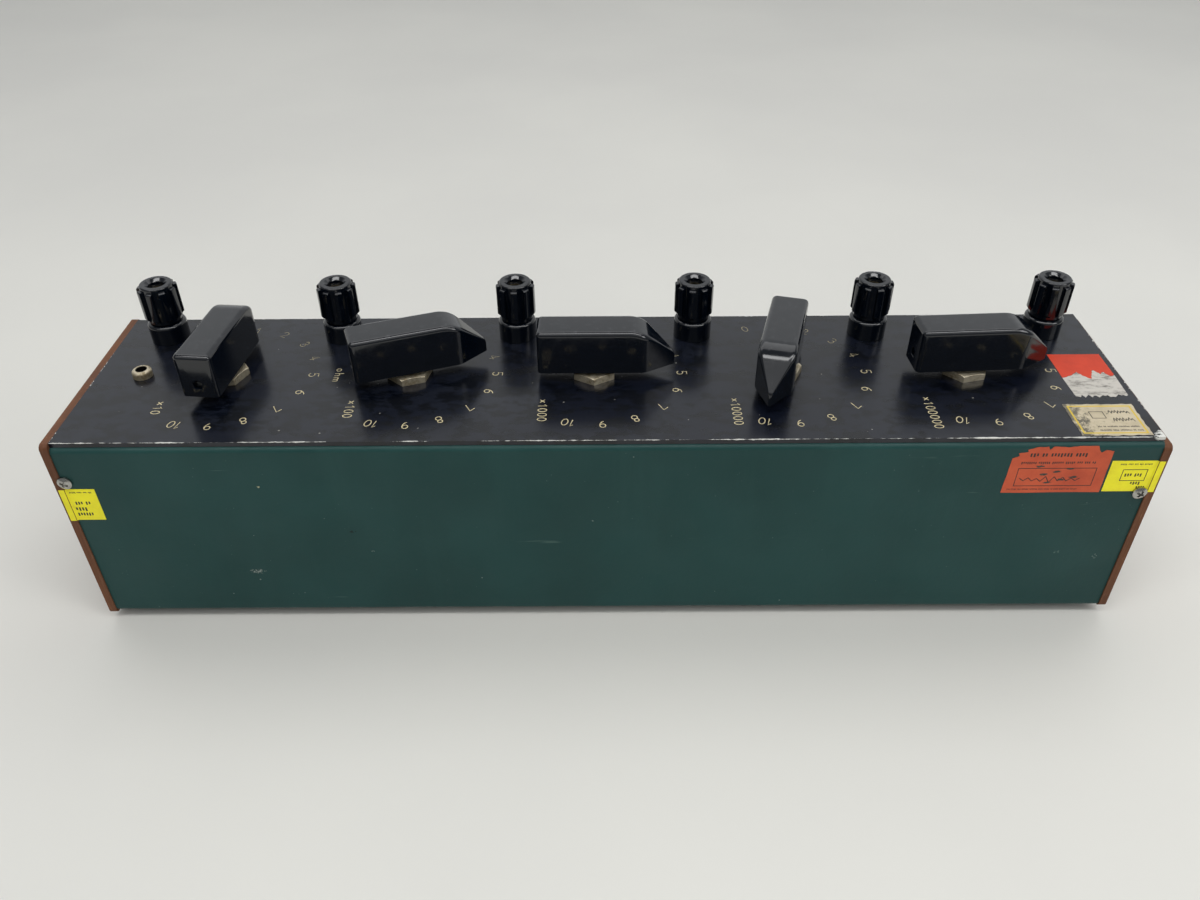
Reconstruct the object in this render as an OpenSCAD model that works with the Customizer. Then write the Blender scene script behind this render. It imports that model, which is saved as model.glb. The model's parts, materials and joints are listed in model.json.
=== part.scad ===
// Five-decade resistance box: folded steel case, enamelled panel, five stud switches and six binding posts.
// X runs along the box, the front faces -Y, and Z = 0 is the surface that the feet stand on.

/* [Case] */
// Distance from the outermost posts to the ends of the case
end_margin = 20; // [19:0.5:30]
// Depth of the case from its front face to its rear face
case_depth = 94; // [92:1:110]
// Height of the case from its underside to the panel seat
case_height = 86; // [78:1:110]
// Thickness of the case sheet
sheet = 1.2; // [0.8:0.1:1.8]
// Outside radius of the folds
fold_radius = 2.2; // [2:0.1:3]
// Width of the flanges that the panel lies on
flange_width = 8; // [6:0.5:8.5]

/* [Panel] */
// Thickness of the top panel
panel_thickness = 2; // [1.5:0.1:3]
// How far the panel edge lies behind the case face
panel_setback = 1.5; // [1:0.1:2.2]

/* [End cheeks] */
// Thickness of the cheek that shows outside the case
cheek_lip = 3; // [2:0.1:5]
// Thickness of the cheek that plugs into the case
cheek_plug = 10; // [8:0.5:11]
// How far the cheek stands out past the case faces
cheek_overhang = 0.6; // [0.2:0.1:1.5]
// Corner radius of the cheek
cheek_corner = 2.2; // [1:0.1:4]
// How far the right cheek stops below the panel top
right_cheek_drop = 3; // [0:0.1:5]
// How far the left cheek reaches below the case
left_cheek_drop = 0.9; // [0:0.1:1.5]

/* [Cheek screws] */
// Shank diameter of the cheek screws
screw_shank = 2.9; // [2:0.1:3.5]
// Length of the shank
screw_length = 11; // [8:0.5:14]
// Head diameter
screw_head = 5.5; // [4.5:0.1:6.5]
// Head height
screw_head_height = 1.7; // [1:0.1:2.2]
// Left screw, in from the case end
left_screw_inset = 1.3; // [1:0.1:3]
// Left screw, below the panel top
left_screw_drop = 17.5; // [12:0.5:30]
// Right screw, in from the case end
right_screw_inset = 2.6; // [1:0.1:3]
// Right screw, below the panel top
right_screw_drop = 25.3; // [12:0.5:30]

/* [Feet] */
// Height of the feet under the case
foot_height = 4.5; // [3.5:0.1:8]
// Diameter of a foot
foot_diameter = 15; // [12:0.5:20]
// Shank diameter of the foot screws
foot_shank = 3; // [2.5:0.1:3.5]

/* [Dials] */
// Distance from dial to dial and from post to post
dial_pitch = 75; // [74:0.5:78]
// Shift of the dials from the middle of the box
dial_shift = -4.5; // [-6:0.5:0]
// Switch steps in a full turn
steps_per_turn = 17; // [16:1:18]

/* [Knobs] */
// Length behind the axis
knob_rear = 22.6; // [18:0.2:23]
// Length from the axis to the shoulder of the prow
knob_shoulder = 20; // [18:0.5:24]
// Length from the axis to the tip
knob_tip = 32.3; // [31.5:0.1:34]
// Width of the bar
knob_width = 14.9; // [12:0.1:17]
// Height of the bar
knob_height = 18.3; // [16:0.1:20]
// Length from the axis to where the top begins to fall
knob_flat = 13.7; // [11:0.1:14]
// Radius on which the top bends down
nose_bend = 13; // [12:0.1:17]
// Radius on which the slope ends at the tip
tip_bend = 2; // [1:0.1:4]
// Underside of the knob above the panel
knob_lift = 4.8; // [4.4:0.1:7]
// Radius of the moulded edges
knob_edge = 2; // [0.5:0.1:2.4]
// Diameter of the set screw
set_screw = 4; // [3:0.1:4.5]

/* [Switches] */
// Diameter of the shaft
shaft_diameter = 6; // [5:0.1:6.4]
// Diameter of the threaded neck of the bush
neck_diameter = 10; // [9:0.1:11]
// Width of the hex nut across its flats
nut_width = 16.2; // [14:0.1:18]
// Height of the hex nut
nut_height = 3.2; // [2.5:0.1:4]
// Radius of the circle of contact studs
stud_circle = 20; // [19:0.2:21]
// Radius of the circle of resistor bobbins
bobbin_circle = 27; // [26.5:0.1:28]
// Length of a resistor bobbin
bobbin_length = 24; // [14:0.5:28]
// Thickness of the stator plate
stator_thickness = 4; // [3:0.1:6]
// Diameter of the pillars
pillar_diameter = 6; // [5.5:0.1:6.5]
// Thickness of the mounting plate under the panel
mount_plate = 1.6; // [1:0.1:2.5]

/* [Posts] */
// Distance of the posts from the rear face of the case
post_setback = 16; // [15.5:0.1:17]
// Diameter of the fixed collar
collar_diameter = 15.8; // [14:0.1:17]
// Height of the fixed collar
collar_height = 8.5; // [6:0.1:10]
// Radius of the collar's top edge
collar_round = 1.4; // [0.5:0.1:2]
// Height of a closed post above the panel
post_height = 26; // [24:0.5:32]
// Diameter of the cap between its ribs
cap_core = 13.4; // [12.8:0.1:14]
// Diameter of the cap over its ribs
cap_ribs = 16.2; // [15:0.1:17]
// Diameter of the dish in the top of the cap
cap_dish = 9.2; // [8:0.1:11]
// Thread diameter of the posts and of the earth socket
post_thread = 6; // [5.6:0.1:6.6]
// Diameter of the plug sockets
socket_diameter = 4.1; // [4:0.05:4.3]
// Distance of the earth socket from the axis of the first dial
earth_distance = 34; // [33:0.5:36]
// Diameter of the earth socket above the panel
earth_diameter = 7.8; // [7.2:0.1:10]

/* [Hidden] */
dial_count = 5;
post_count = 6;
$fn = 48;

// Clearances
wood_fit = 0.2;
running_fit = 0.03;
thread_fit = 0.05;
end_play = 0.1;
flat_gap = 0.05;
cut = 1;

// Length of the case between the end cheeks
case_length = (post_count - 1) * dial_pitch + 2 * end_margin;

// Levels
seat_z = foot_height + case_height;
panel_z = seat_z + panel_thickness;
knob_z = panel_z + knob_lift;
neck_top = panel_z + nut_height + 0.4;
bush_flange = 3;
bush_boss = 4.4;
bush_z = seat_z - mount_plate - bush_flange - bush_boss;
hub_height = 13;
hub_top = bush_z - end_play;
hub_z = hub_top - hub_height;
wiper_sheet = 0.6;
wiper_bump = 1.8;
contact_gap = 0.1;
contact_top = hub_z - wiper_sheet - wiper_bump - contact_gap;
stud_head = 1.5;
stator_top = contact_top - stud_head;
stator_z = stator_top - stator_thickness;
tail = 3;

// Dials
step_angle = 360 / steps_per_turn;
swing = 5 * step_angle;
readings = [1, 4, 5, 10, 5];
knob_skew = [0, -1.7, 0, 0.5, 3];
nut_turns = [8, 19, 30, 4, 14];
function dial_x(n) = dial_shift + (n - (dial_count + 1) / 2) * dial_pitch;
function post_x(n) = (n - (post_count + 1) / 2) * dial_pitch;
function rest_angle(n) = (5 - readings[n - 1]) * step_angle;
function screw_inset(end) = end < 0 ? left_screw_inset : right_screw_inset;
function polar(radius, angle) = [radius * cos(angle), radius * sin(angle), 0];

// Switch plan
neck_clearance = 0.2;
star_radius = 16;
star_height = 4;
index_bump = 1.6;
index_gap = 0.3;
lug_width = 5;
lug_overlap = 1;
stop_circle = 26;
stop_gap = 0.4;
stop_angle = swing + asin((lug_width / 2 + pillar_diameter / 2 + stop_gap) / stop_circle);
lug_reach = stop_circle + lug_overlap;
carry_circle = lug_reach + pillar_diameter / 2 + 0.8;
carry_angle = 40;
plate_radius = carry_circle + pillar_diameter / 2 + 1.2;
spring_foot = 7;
spring_face = star_radius + index_gap + index_bump;
plate_flat = spring_face + spring_foot + 1;
spigot = pillar_diameter - 2;
pillar_spots = [[stop_circle, stop_angle], [stop_circle, -stop_angle],
                [carry_circle, carry_angle], [carry_circle, -carry_angle]];
stud_head_diameter = 5;
stud_stem = 3;
collector_outer = 11;
collector_inner = 7.5;
collector_middle = (collector_outer + collector_inner) / 2;
collector_pin = 2.5;
bobbin_diameter = 8.6;
bobbin_spigot = 2.4;
bobbin_spigot_length = 2;
wire_diameter = 1.2;

// Posts
post_y = case_depth / 2 - post_setback;
collar_spigot = post_thread + 2.6;
spigot_fit = 0.1;
stud_flange = post_thread + 4;
stud_flange_height = 1.2;
stud_top = post_height - 3;
socket_depth = 18;
washer_diameter = post_thread + 4.6;
washer_height = 1;
washer_fit = 0.2;
cap_gap = 0.2;
insulator_diameter = 14;
insulator_height = 3;
terminal_nut_width = 10;
terminal_nut_height = 4;
earth_stand = 3.3;
earth_round = 1.2;
stud_tail = 6;
stud_bottom = seat_z - insulator_height - terminal_nut_height - stud_tail;

// Panel brackets
bracket_length = 14;
bracket_leg = 12;
bracket_sheet = 2;
bracket_spots = [-22, 14];
bracket_screw_drop = 7;

// Shared shapes

// Extrudes an outline drawn in Y and Z along the box
module along_x(length) {
    rotate([90, 0, 90])
        linear_extrude(length, center = true) children();
}

// Rectangle standing on the axis, with round corners
module rounded(width, height, radius) {
    translate([-width / 2 + radius, 0]) square([width - 2 * radius, height]);
    translate([-width / 2, radius]) square([width, height - 2 * radius]);
    for (side = [-1, 1], level = [radius, height - radius])
        translate([side * (width / 2 - radius), level]) circle(radius);
}

module ring(outer, inner, height) {
    difference() {
        cylinder(d = outer, h = height);
        translate([0, 0, -cut]) cylinder(d = inner, h = height + 2 * cut);
    }
}

// Hex nut with its top corners chamfered
module hex_nut(width, height, bore) {
    corner = width / cos(30) / 2;
    bevel = corner - width / 2;
    difference() {
        intersection() {
            cylinder(r = corner, h = height, $fn = 6);
            rotate_extrude()
                polygon([[0, 0], [corner, 0], [corner, height - bevel / 2], [width / 2, height],
                         [0, height]]);
        }
        translate([0, 0, -cut]) cylinder(d = bore, h = height + 2 * cut);
    }
}

// Screw along +Z with a domed head under its shank and a cross recess in the head
module pan_screw(shank, length, head, head_height) {
    dome = head * 0.9;
    arm = head * 0.56;
    web = head * 0.17;
    recess = head_height * 0.65;
    difference() {
        union() {
            cylinder(d = shank, h = length);
            translate([0, 0, -head_height])
                rotate_extrude()
                    intersection() {
                        square([head / 2, head_height]);
                        translate([0, dome]) circle(dome);
                    }
        }
        for (turn = [25, 115])
            rotate([0, 0, turn])
                translate([0, 0, -head_height]) cube([arm, web, 2 * recess], center = true);
    }
}

module at_dials() {
    for (n = [1:dial_count])
        translate([dial_x(n), 0, 0]) children();
}

module at_posts() {
    for (n = [1:post_count])
        translate([post_x(n), post_y, 0]) children();
}

module at_pillars() {
    for (spot = pillar_spots)
        translate(polar(spot[0], spot[1])) children();
}

module at_studs() {
    for (n = [0:10])
        translate(polar(stud_circle, (5 - n) * step_angle)) children();
}

module at_bobbins() {
    for (n = [0:9])
        translate(polar(bobbin_circle, (4.5 - n) * step_angle)) children();
}

module at_feet() {
    for (x = [-1, 1], y = [-1, 1])
        translate([x * (case_length / 2 - foot_end_inset), y * (case_depth / 2 - foot_side_inset), 0])
            children();
}

module at_earth() {
    translate([dial_x(1) - earth_distance, 0, 0]) children();
}

// Puts what points along +Z into the case at each cheek screw of one end
module at_case_screws(end) {
    drop = end < 0 ? left_screw_drop : right_screw_drop;
    for (face = [-1, 1])
        translate([end * (case_length / 2 - screw_inset(end)), face * case_depth / 2, panel_z - drop])
            rotate([face * 90, 0, 0]) children();
}

// Puts what points along +Z into the cheek at each bracket screw of one end
module at_bracket_screws(end) {
    for (y = bracket_spots)
        translate([end * (case_length / 2 - cheek_plug - bracket_sheet), y, seat_z - bracket_screw_drop])
            rotate([0, end * 90, 0]) children();
}

// Case

module case_section() {
    difference() {
        rounded(case_depth, case_height, fold_radius);
        translate([0, sheet])
            rounded(case_depth - 2 * sheet, case_height - 2 * sheet, fold_radius - sheet);
        translate([-case_depth / 2 + flange_width, case_height - sheet - cut])
            square([case_depth - 2 * flange_width, sheet + 2 * cut]);
    }
}

module case_shell() {
    notch = cheek_plug + wood_fit;
    color("#2b403c")
    difference() {
        translate([0, 0, foot_height]) along_x(case_length) case_section();
        for (end = [-1, 1]) {
            translate([end * (case_length / 2 - notch / 2 + cut / 2), 0, seat_z])
                cube([notch + cut, case_depth - 2 * fold_radius, 2 * sheet + 0.1], center = true);
            at_case_screws(end)
                translate([0, 0, -cut]) {
                    cylinder(d = screw_shank, h = sheet + 2 * cut);
                    if (screw_inset(end) < screw_shank / 2)
                        mirror([end < 0 ? 1 : 0, 0, 0])
                            translate([0, -screw_shank / 2, 0])
                                cube([screw_inset(end) + cut, screw_shank, sheet + 2 * cut]);
                }
        }
        at_feet() translate([0, 0, foot_height - cut]) cylinder(d = foot_shank, h = sheet + 2 * cut);
    }
}

module top_panel() {
    color("#15181c")
    translate([0, 0, seat_z])
    difference() {
        translate([-case_length / 2, -case_depth / 2 + panel_setback, 0])
            cube([case_length, case_depth - 2 * panel_setback, panel_thickness]);
        translate([0, 0, -cut]) {
            at_dials() cylinder(d = neck_diameter + 2 * neck_clearance, h = panel_thickness + 2 * cut);
            at_posts() cylinder(d = collar_spigot + 2 * spigot_fit, h = panel_thickness + 2 * cut);
            at_earth() cylinder(d = post_thread + 2 * spigot_fit, h = panel_thickness + 2 * cut);
        }
    }
}

// Rebated board: a lip that closes the end of the case and a plug that fills its mouth
module end_cheek(end, bottom, top) {
    plug_wide = case_depth - 2 * (sheet + wood_fit);
    plug_narrow = case_depth - 2 * (fold_radius + wood_fit);
    plug_bottom = foot_height + sheet + wood_fit;
    plug_height = seat_z - plug_bottom;
    color("#7a4f36")
    difference() {
        union() {
            translate([end * (case_length + cheek_lip) / 2, 0, bottom])
                along_x(cheek_lip)
                    rounded(case_depth + 2 * cheek_overhang, top - bottom, cheek_corner);
            translate([end * (case_length - cheek_plug) / 2, 0, plug_bottom])
                along_x(cheek_plug)
                    intersection() {
                        translate([-plug_wide / 2, 0])
                            square([plug_wide, min(plug_height, top - plug_bottom)]);
                        union() {
                            translate([-plug_narrow / 2, 0]) square([plug_narrow, plug_height]);
                            translate([-plug_wide / 2, fold_radius])
                                square([plug_wide, plug_height - 2 * fold_radius]);
                        }
                    }
        }
        at_case_screws(end) {
            cylinder(d = screw_shank, h = screw_length);
            translate([0, 0, -screw_head_height - cut])
                cylinder(d = screw_head + 2 * wood_fit, h = screw_head_height + cut);
        }
        at_bracket_screws(end) cylinder(d = screw_shank, h = screw_length - 2);
    }
}

module end_cheek_left() {
    end_cheek(-1, foot_height - left_cheek_drop, panel_z);
}

module end_cheek_right() {
    end_cheek(1, foot_height, panel_z - right_cheek_drop);
}

module cheek_screws() {
    color("#c9c9c4")
    for (end = [-1, 1]) {
        at_case_screws(end) pan_screw(screw_shank, screw_length, screw_head, screw_head_height);
        at_bracket_screws(end) pan_screw(screw_shank, screw_length - 2, screw_head, screw_head_height);
    }
}

// Angles spot-welded under the panel and screwed to the cheeks
module panel_brackets() {
    color("#b8bcbf")
    difference() {
        for (end = [-1, 1], y = bracket_spots)
            translate([end * (case_length / 2 - cheek_plug), y, seat_z])
                mirror([end > 0 ? 1 : 0, 0, 0])
                    rotate([90, 0, 0])
                        linear_extrude(bracket_length, center = true)
                            polygon([[0, 0], [bracket_leg, 0], [bracket_leg, -bracket_sheet],
                                     [bracket_sheet, -bracket_sheet], [bracket_sheet, -bracket_leg],
                                     [0, -bracket_leg]]);
        for (end = [-1, 1])
            at_bracket_screws(end)
                translate([0, 0, -cut]) cylinder(d = screw_shank, h = bracket_sheet + 2 * cut);
    }
}

// Feet

foot_end_inset = 24;
foot_side_inset = 14;
foot_recess = 0.45 * foot_height;
foot_head = foot_shank + 3;

module feet() {
    color("#202020")
    at_feet()
        rotate_extrude()
            polygon([[foot_head / 2 + 0.3, 0], [foot_diameter / 2 - 1, 0], [foot_diameter / 2, foot_height],
                     [foot_shank / 2, foot_height], [foot_shank / 2, foot_recess],
                     [foot_head / 2 + 0.3, foot_recess]]);
}

module foot_screws() {
    head = min(1.5, foot_recess - 0.3);
    color("#a8a8a4")
    at_feet()
        translate([0, 0, foot_recess])
            pan_screw(foot_shank, foot_height - foot_recess + sheet + 5, foot_head, head);
}

// Posts and earth socket

module post_collars() {
    radius = collar_diameter / 2;
    edge = [for (a = [0:15:90])
        [radius - collar_round * (1 - cos(a)), collar_height - collar_round * (1 - sin(a))]];
    color("#101010")
    at_posts()
        translate([0, 0, panel_z])
            rotate_extrude()
                polygon(concat(
                    [[post_thread / 2, 0.2 - panel_thickness], [collar_spigot / 2, 0.2 - panel_thickness]],
                    [[collar_spigot / 2, 0], [radius, 0]],
                    edge,
                    [[stud_flange / 2, collar_height], [stud_flange / 2, collar_height - stud_flange_height]],
                    [[post_thread / 2, collar_height - stud_flange_height]]));
}

module post_studs() {
    color("#b79a55")
    at_posts()
        difference() {
            union() {
                translate([0, 0, stud_bottom])
                    cylinder(d = post_thread, h = panel_z + stud_top - stud_bottom);
                translate([0, 0, panel_z + collar_height - stud_flange_height])
                    cylinder(d = stud_flange, h = stud_flange_height);
            }
            translate([0, 0, panel_z + stud_top - socket_depth])
                cylinder(d = socket_diameter, h = socket_depth + cut);
        }
}

module post_insulators() {
    color("#3a2a20")
    at_posts()
        translate([0, 0, seat_z - insulator_height]) ring(insulator_diameter, post_thread, insulator_height);
}

module terminal_nuts() {
    color("#b79a55") {
        at_posts()
            translate([0, 0, seat_z - insulator_height - terminal_nut_height])
                hex_nut(terminal_nut_width, terminal_nut_height, post_thread);
        at_earth()
            translate([0, 0, seat_z - terminal_nut_height])
                hex_nut(terminal_nut_width, terminal_nut_height, post_thread);
    }
}

module earth_socket() {
    radius = earth_diameter / 2;
    edge = [for (a = [0:15:90])
        [radius - earth_round * (1 - cos(a)), earth_stand - earth_round * (1 - sin(a))]];
    color("#b9b4a6")
    at_earth()
        translate([0, 0, panel_z])
            difference() {
                rotate_extrude()
                    polygon(concat(
                        [[0, -socket_depth], [post_thread / 2, -socket_depth]],
                        [[post_thread / 2, 0], [radius, 0]],
                        edge,
                        [[0, earth_stand]]));
                translate([0, 0, 2 - socket_depth])
                    cylinder(d = socket_diameter, h = socket_depth + earth_stand);
            }
}

cap_bottom = collar_height + cap_gap;
cap_length = post_height - cap_bottom;
cap_recess = flat_gap + washer_height + washer_fit - cap_gap;

// Turn of each cap as it was last screwed down
cap_turns = [-5, 20, 0, -10, 8, -16];

// Fluted cap: a plain skirt below, ribs above and a dished top with a hole over the stud's socket
module post_cap(n) {
    core = cap_core / 2;
    ribs = cap_ribs / 2;
    rib_count = 9;
    rib_width = 2.5;
    rib_root = core - 0.6;
    rib_slant = ribs - rib_root;
    rib_start = 1;
    rib_end = cap_length - 1.6;
    rib_round = 0.7;
    skirt_edge = 0.5;
    crown_round = 0.8;
    crown = [for (a = [0:15:90])
        [core - crown_round * (1 - cos(a)), cap_length - crown_round * (1 - sin(a))]];
    rib_curve = [for (a = [0:15:90]) [ribs - rib_round * (1 - cos(a)), rib_end - rib_round * (1 - sin(a))]];
    plug_hole = post_thread + 0.6;
    dish_depth = 1.2;
    bore_top = stud_top - cap_bottom + 0.2;
    color("#101010")
    translate([post_x(n), post_y, panel_z + cap_bottom])
    difference() {
        union() {
            rotate_extrude()
                polygon(concat(
                    [[0, 0], [core - skirt_edge, 0], [core, skirt_edge]],
                    crown,
                    [[0, cap_length]]));
            intersection() {
                rotate_extrude()
                    polygon(concat([[0, rib_start], [rib_root, rib_start], [ribs, rib_start + rib_slant]],
                                   rib_curve, [[0, rib_end]]));
                for (k = [0:rib_count - 1])
                    rotate([0, 0, cap_turns[n - 1] - 90 + k * 360 / rib_count])
                        translate([core / 2, -rib_width / 2, 0]) cube([ribs, rib_width, cap_length]);
            }
        }
        translate([0, 0, -cut]) cylinder(d = post_thread + 2 * thread_fit, h = bore_top + cut);
        translate([0, 0, -cut]) cylinder(d = washer_diameter + 2 * washer_fit, h = cap_recess + cut);
        translate([0, 0, bore_top]) cylinder(d = plug_hole, h = cap_length);
        translate([0, 0, cap_length - dish_depth])
            cylinder(d1 = plug_hole, d2 = cap_dish, h = dish_depth);
    }
}

module post_washer(n) {
    color("#b79a55")
    translate([post_x(n), post_y, panel_z + collar_height + flat_gap])
        ring(washer_diameter, post_thread + 2 * thread_fit, washer_height);
}

// Switches

// Round plate with a flat on the side away from the contacts
module plate_outline() {
    intersection() {
        circle(plate_radius);
        translate([-plate_flat, -plate_radius]) square([plate_flat + plate_radius, 2 * plate_radius]);
    }
}

module switch_plates() {
    color("#a9adb0")
    at_dials()
        translate([0, 0, seat_z - mount_plate])
            difference() {
                linear_extrude(mount_plate) plate_outline();
                translate([0, 0, -cut]) {
                    cylinder(d = neck_diameter, h = mount_plate + 2 * cut);
                    at_pillars() cylinder(d = spigot, h = mount_plate + 2 * cut);
                }
            }
}

module switch_bushes() {
    bore = shaft_diameter / 2 + running_fit;
    neck = neck_diameter / 2;
    boss = neck + 2;
    color("#b79a55")
    at_dials()
        rotate_extrude()
            polygon([[bore, bush_z], [boss, bush_z], [boss, bush_z + bush_boss],
                     [boss + 3, bush_z + bush_boss], [boss + 3, seat_z - mount_plate],
                     [neck, seat_z - mount_plate], [neck, neck_top - 0.5],
                     [neck - 0.5, neck_top], [bore, neck_top]]);
}

module switch_nuts() {
    color("#968c73")
    for (n = [1:dial_count])
        translate([dial_x(n), 0, panel_z])
            rotate([0, 0, nut_turns[n - 1]]) hex_nut(nut_width, nut_height, neck_diameter);
}

module switch_pillars() {
    color("#b79a55")
    at_dials()
        at_pillars() {
            translate([0, 0, stator_top])
                cylinder(d = pillar_diameter, h = seat_z - mount_plate - stator_top);
            translate([0, 0, stator_z])
                cylinder(d = spigot, h = seat_z - stator_z);
        }
}

module stator_plates() {
    shaft_clearance = 0.4;
    through = stator_thickness + 2 * cut;
    color("#4a2f22")
    at_dials()
        translate([0, 0, stator_z])
            difference() {
                linear_extrude(stator_thickness) plate_outline();
                translate([0, 0, -cut]) {
                    cylinder(d = shaft_diameter + 2 * shaft_clearance, h = through);
                    at_pillars() cylinder(d = spigot, h = through);
                    at_studs() cylinder(d = stud_stem, h = through);
                    translate([-collector_middle, 0, 0]) cylinder(d = collector_pin, h = through);
                    at_bobbins() cylinder(d = bobbin_spigot, h = bobbin_spigot_length + cut);
                }
            }
}

module contact_studs() {
    color("#c2a45c")
    at_dials()
        at_studs() {
            translate([0, 0, stator_top]) cylinder(d = stud_head_diameter, h = stud_head);
            translate([0, 0, stator_z - tail]) cylinder(d = stud_stem, h = stator_thickness + tail);
        }
}

module collector_rings() {
    color("#c2a45c")
    at_dials() {
        translate([0, 0, stator_top]) ring(2 * collector_outer, 2 * collector_inner, stud_head);
        translate([-collector_middle, 0, stator_z - tail])
            cylinder(d = collector_pin, h = stator_thickness + tail);
    }
}

// Leaf hung from the mounting plate, with a round bump that rides on the index wheel
module index_springs() {
    leaf = 0.6;
    width = 8;
    top = seat_z - mount_plate;
    bottom = hub_top - star_height - 3;
    color("#9aa0a4")
    at_dials()
        rotate([0, 0, 8 * step_angle])
            rotate([90, 0, 0])
                linear_extrude(width, center = true) {
                    translate([spring_face, bottom]) square([leaf, top - bottom]);
                    translate([spring_face, top - leaf]) square([spring_foot, leaf]);
                    intersection() {
                        translate([spring_face, hub_top - 1 - star_height / 2]) circle(index_bump);
                        translate([spring_face - 2 * index_bump, bottom])
                            square([2 * index_bump + leaf, top - bottom]);
                    }
                }
}

// Wire-wound spools under the stator plate, one between each pair of studs
module resistor_bobbins() {
    cheek = 1.2;
    wound = bobbin_diameter / 2 - 0.6;
    radius = bobbin_diameter / 2;
    color("#c9b27a")
    at_dials()
        at_bobbins()
            translate([0, 0, stator_z])
                rotate_extrude()
                    polygon([[0, bobbin_spigot_length], [bobbin_spigot / 2, bobbin_spigot_length],
                             [bobbin_spigot / 2, 0], [radius, 0], [radius, -cheek], [wound, -cheek],
                             [wound, cheek - bobbin_length], [radius, cheek - bobbin_length],
                             [radius, -bobbin_length], [0, -bobbin_length]]);
}

// Stiff wire that hangs from two points, with a level run between its legs
module wire(from, to, level) {
    leg = wire_diameter + 0.4;
    run = [to[0] - from[0], to[1] - from[1], 0];
    for (end = [from, to])
        translate([end[0], end[1], level - leg / 2]) cylinder(d = leg, h = end[2] - level + leg / 2);
    translate([from[0], from[1], level])
        rotate([0, 90, atan2(run[1], run[0])]) cylinder(d = wire_diameter, h = norm(run));
}

// Each post to the zero stud of its own decade, and to the collector of the decade before it
module hookup_wires() {
    solder_z = stator_z - tail;
    upper_run = solder_z - 2;
    lower_run = stator_z - bobbin_length - 4;
    side = [post_thread / 4, 0, 0];
    color("#d8d4c8")
    for (n = [1:dial_count]) {
        dial = [dial_x(n), 0, solder_z];
        near = [post_x(n), post_y, stud_bottom] + side;
        far = [post_x(n + 1), post_y, stud_bottom] - side;
        wire(near, dial + polar(stud_circle, swing), upper_run);
        wire(far, dial - [collector_middle, 0, 0], lower_run);
    }
}

// Rotors

// Places a rotor piece on its dial at its rest reading
module rotor(n) {
    translate([dial_x(n), 0, 0])
        rotate([0, 0, rest_angle(n)]) children();
}

// Places a knob piece on its rotor, a little off the step as it was clamped
module on_shaft(n) {
    rotor(n)
        rotate([0, 0, knob_skew[n - 1]]) children();
}

shaft_top = knob_z + knob_height - 4;
shaft_bottom = stator_z - 1.5;
set_screw_level = 0.28 * knob_height;

// Outline of the bar from above: a flat rear, straight sides and a tapered prow
module knob_plan() {
    half = knob_width / 2;
    nose = 0.5;
    translate([-knob_rear, knob_edge - half]) square([2 * knob_edge, knob_width - 2 * knob_edge]);
    polygon([[-knob_rear + knob_edge, -half], [knob_shoulder, -half], [knob_tip, -nose], [knob_tip, nose],
             [knob_shoulder, half], [-knob_rear + knob_edge, half]]);
    for (side = [-1, 1])
        translate([-knob_rear + knob_edge, side * (half - knob_edge)]) circle(knob_edge);
}

// Outline from the side: a rounded rear edge, a flat top that bends into a slope, and a bend down to the tip
module knob_side() {
    slope = 45;
    bend_end = [knob_flat + nose_bend * sin(slope), knob_height - nose_bend * (1 - cos(slope))];
    tip_start = knob_tip - tip_bend * (1 - sin(slope));
    tip_level = bend_end[1] - (tip_start - bend_end[0]) * tan(slope) - tip_bend * cos(slope);
    top_curve = [for (a = [0:5:slope])
        [knob_flat + nose_bend * sin(a), knob_height - nose_bend * (1 - cos(a))]];
    tip_curve = [for (a = [slope:5:90])
        [knob_tip - tip_bend * (1 - sin(a)), tip_level + tip_bend * cos(a)]];
    rear_curve = [for (a = [180:-15:90])
        [knob_edge * (1 + cos(a)) - knob_rear, knob_height - knob_edge * (1 - sin(a))]];
    polygon(concat([[-knob_rear, 0]], rear_curve, top_curve, tip_curve, [[knob_tip, 0]]));
}

// Outline along the bar: upright sides with rounded top edges
module knob_end() {
    half = knob_width / 2;
    translate([-half, 0]) square([knob_width, knob_height - knob_edge]);
    translate([-half + knob_edge, 0]) square([knob_width - 2 * knob_edge, knob_height]);
    for (side = [-1, 1])
        translate([side * (half - knob_edge), knob_height - knob_edge]) circle(knob_edge);
}

module knob(n) {
    length = knob_rear + knob_tip;
    color("#0c0c0d")
    on_shaft(n)
        translate([0, 0, knob_z])
            difference() {
                intersection() {
                    linear_extrude(knob_height) knob_plan();
                    rotate([90, 0, 0])
                        linear_extrude(knob_width + 2 * cut, center = true) knob_side();
                    translate([(knob_tip - knob_rear) / 2, 0, 0]) along_x(length + 2 * cut) knob_end();
                }
                translate([0, 0, -cut]) cylinder(d = shaft_diameter, h = shaft_top - knob_z + cut);
                translate([-knob_rear - cut, 0, set_screw_level])
                    rotate([0, 90, 0]) cylinder(d = set_screw, h = knob_rear + cut);
            }
}

module knob_screw(n) {
    depth = 3;
    length = knob_rear - shaft_diameter / 2 - depth;
    slot = 0.7;
    color("#77746c")
    on_shaft(n)
        translate([-shaft_diameter / 2 - length, 0, knob_z + set_screw_level])
            difference() {
                rotate([0, 90, 0]) cylinder(d = set_screw, h = length);
                cube([2 * slot, set_screw + cut, slot], center = true);
                translate([length, 0, 0])
                    cylinder(d = shaft_diameter, h = 2 * set_screw, center = true);
            }
}

// Shaft with a shoulder that stops it in the bush and carries the knob
module shaft(n) {
    color("#b5b8ba")
    rotor(n) {
        translate([0, 0, shaft_bottom]) cylinder(d = shaft_diameter, h = shaft_top - shaft_bottom);
        translate([0, 0, neck_top + end_play])
            cylinder(d = shaft_diameter + 3, h = knob_z - neck_top - end_play);
    }
}

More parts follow.
